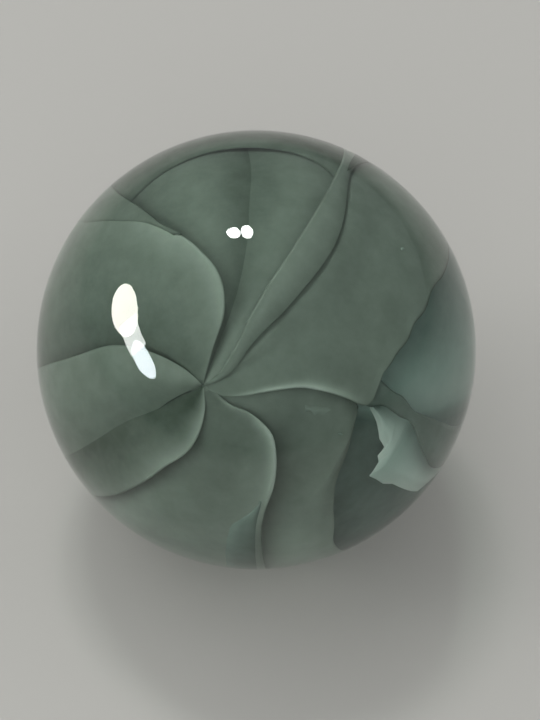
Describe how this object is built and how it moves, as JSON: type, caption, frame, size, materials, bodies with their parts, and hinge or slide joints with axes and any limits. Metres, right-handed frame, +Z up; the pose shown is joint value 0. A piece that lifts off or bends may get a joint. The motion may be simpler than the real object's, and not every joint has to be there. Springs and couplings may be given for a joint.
{
  "type": "glass marble",
  "caption": "Clear green glass playing marble with pale ribbons of colour twisted and folded inside it, one solid polished ball.",
  "frame": {"origin": "centre of the ball", "axes": "+Z up; the ball is the same about every axis, and the ribbons inside twist together at a point on its upper front left"},
  "size_m": [0.016, 0.016, 0.016],
  "materials": {
    "swirl_glass": "polished clear teal-green glass with translucent grey-green ribbons inside"
  },
  "bodies": {
    "root": {"marble": "swirl_glass"}
  },
  "joints": []
}
